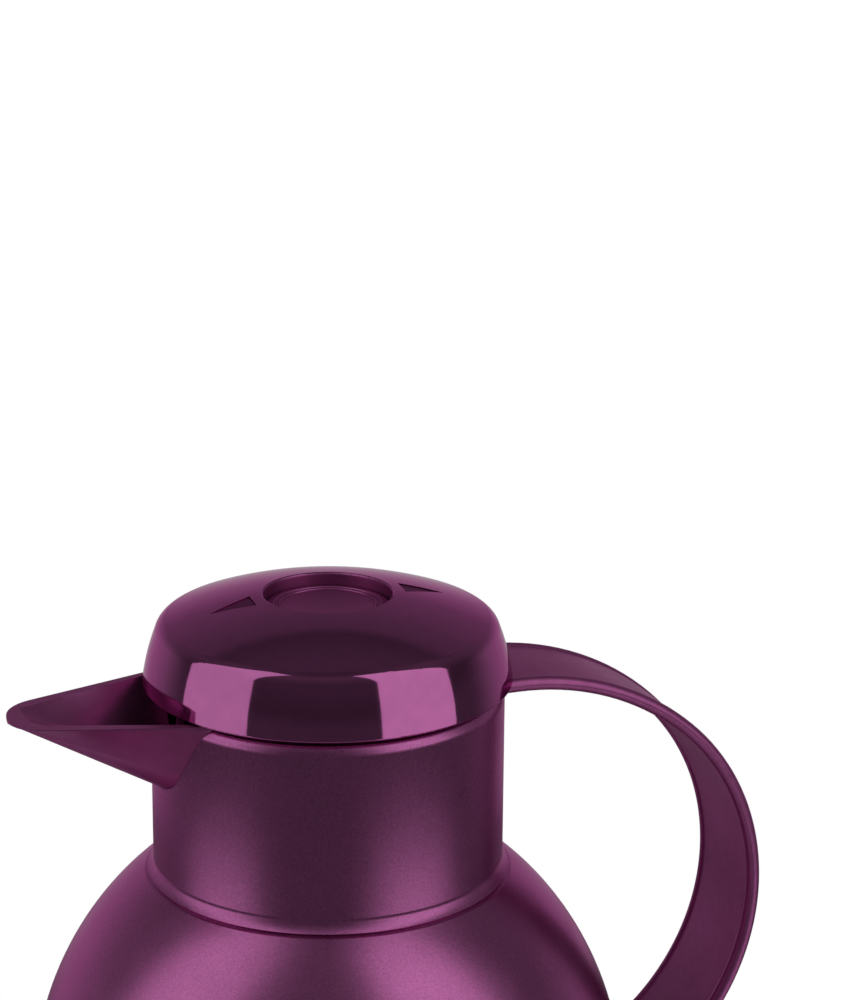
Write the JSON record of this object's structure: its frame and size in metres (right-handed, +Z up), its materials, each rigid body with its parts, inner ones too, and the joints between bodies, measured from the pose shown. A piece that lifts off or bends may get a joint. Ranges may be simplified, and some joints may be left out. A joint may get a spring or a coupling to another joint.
{
  "type": "vacuum jug",
  "caption": "Round glass-lined vacuum jug with a straight neck, a pointed pouring spout, a looped band handle and a domed screw lid whose push button opens the pouring valve.",
  "frame": {"origin": "centre of the foot ring's lower face, on the axis of globe, neck and lid", "axes": "+Z up along that axis, -X towards the spout, +X towards the handle, +Y across"},
  "size_m": [0.2069, 0.1596, 0.2095],
  "materials": {
    "lacquer": "satin metallic purple lacquer on moulded plastic",
    "satin_plastic": "satin plain purple, moulded through",
    "gloss_plastic": "high gloss purple, moulded through",
    "dark_plastic": "matte dark grey, moulded through",
    "white_plastic": "natural white, moulded through",
    "soft_rubber": "dull dark rubber",
    "clear_silicone": "milky silicone",
    "silvered_glass": "glass silvered on the vacuum side",
    "spacer_felt": "pressed mineral fibre",
    "steel": "plain stainless steel"
  },
  "bodies": {
    "jug": {"globe_shell": "lacquer", "neck_collar": "lacquer", "base_bowl": "lacquer", "casing_seal": "soft_rubber", "foot_ring": "soft_rubber", "base_screw": "dark_plastic", "flask_cushion": "soft_rubber", "flask_outer_glass": "silvered_glass", "flask_inner_bowl": "silvered_glass", "flask_inner_shoulder": "silvered_glass", "flask_inner_neck": "silvered_glass", "flask_spacers": "spacer_felt", "neck_gasket": "clear_silicone", "pouring_ring": "satin_plastic", "handle": "satin_plastic"},
    "lid_carrier": {"stopper_seal": "clear_silicone"},
    "lid": {"lid_cap": "gloss_plastic", "stopper_body": "dark_plastic", "stem_seal": "clear_silicone", "button_spring": "steel"},
    "button": {"push_button": "gloss_plastic", "valve_stem": "white_plastic", "valve_disc": "white_plastic", "valve_seal": "clear_silicone", "valve_screw": "steel"}
  },
  "joints": [
    {"name": "lid_lift", "type": "slide", "parent": "jug", "child": "lid_carrier", "axis": [0, 0, 1], "range_m": [0, 0.08]},
    {"name": "lid_turn", "type": "hinge", "parent": "lid_carrier", "child": "lid", "pos_m": [0, 0, 0.15], "axis": [0, 0, 1], "range_deg": [0, 90]},
    {"name": "button_press", "type": "slide", "parent": "lid", "child": "button", "axis": [0, 0, -1], "range_m": [0, 0.004], "stiffness_N_per_m": 700, "springref_m": -0.004, "deforming": ["button_spring"]}
  ]
}
